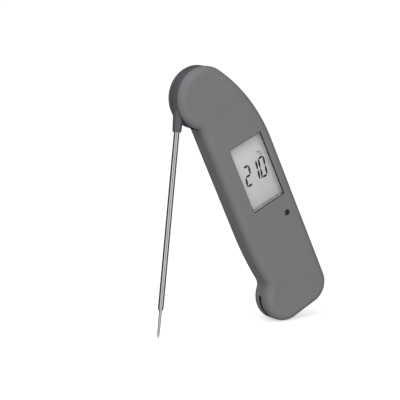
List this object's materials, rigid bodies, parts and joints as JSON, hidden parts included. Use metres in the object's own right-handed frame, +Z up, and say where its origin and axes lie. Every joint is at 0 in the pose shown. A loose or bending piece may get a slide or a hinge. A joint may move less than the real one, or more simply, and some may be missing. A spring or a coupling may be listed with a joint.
{
  "type": "folding probe thermometer",
  "caption": "Pocket digital thermometer: a grey handheld body with a display window and a thin steel needle probe that folds out of its side on a round hinge.",
  "frame": {"origin": "on the floor under the middle of the whole object's box, with the probe opened as it stands", "axes": "+Z up; the display faces -Y; the probe leg is on the -X side and the body leans towards it from the +X side"},
  "size_m": [0.106, 0.0188, 0.1416],
  "materials": {
    "case_grey": "fine-textured mid-grey ABS",
    "hub_grey": "blue-grey satin nylon",
    "steel": "drawn and polished stainless steel",
    "black_plastic": "black polycarbonate",
    "black_rubber": "black silicone rubber",
    "clear_plastic": "clear acrylic window",
    "lcd_glass": "grey reflective liquid-crystal panel",
    "light_guide": "frosted light guide",
    "led_white": "white diode lamp",
    "board_green": "green solder-masked glass-epoxy board",
    "chip_black": "moulded chip package",
    "brass": "plated copper alloy",
    "nickel": "nickel plate",
    "cell_wrap": "printed steel cell can",
    "white_plastic": "natural white nylon",
    "glass_tube": "small sealed glass tube"
  },
  "bodies": {
    "body": {"front_case": "case_grey", "rear_case": "case_grey", "case_seal": "black_rubber", "display_bezel": "black_plastic", "display_window": "clear_plastic", "lcd_panel": "lcd_glass", "backlight_guide": "light_guide", "backlight_led_1": "led_white", "backlight_led_2": "led_white", "lcd_connector_lower": "black_rubber", "lcd_connector_upper": "black_rubber", "light_sensor_lens": "black_plastic", "light_sensor": "chip_black", "main_board": "board_green", "microcontroller": "chip_black", "probe_amplifier": "chip_black", "orientation_sensor": "chip_black", "power_regulator": "chip_black", "reed_switch": "glass_tube", "battery_tray": "white_plastic", "battery_contact_plate": "nickel", "battery_contact_spring": "nickel", "battery_cell": "cell_wrap", "battery_cover": "case_grey", "battery_cover_screw": "steel", "battery_cover_seal": "black_rubber", "case_screw_1": "steel", "case_screw_2": "steel", "case_screw_3": "steel", "case_screw_4": "steel", "pivot_spindle": "steel", "contact_carrier": "board_green", "contact_finger_1": "brass", "contact_finger_2": "brass", "hub_seal_front": "black_rubber", "hub_seal_rear": "black_rubber", "friction_washer": "steel"},
    "probe": {"probe_hub": "hub_grey", "hub_lid": "hub_grey", "slip_ring_1": "brass", "slip_ring_2": "brass", "cold_junction_board": "board_green", "hub_magnet": "nickel", "tube_ferrule": "brass", "probe_tube": "steel", "thermocouple_core": "brass", "probe_needle": "steel"}
  },
  "joints": [
    {"name": "probe_fold", "type": "hinge", "parent": "body", "child": "probe", "pos_m": [-0.02646, -0.00213, 0.12486], "axis": [0, 1, 0], "range_deg": [-31.3, 148.7]}
  ]
}
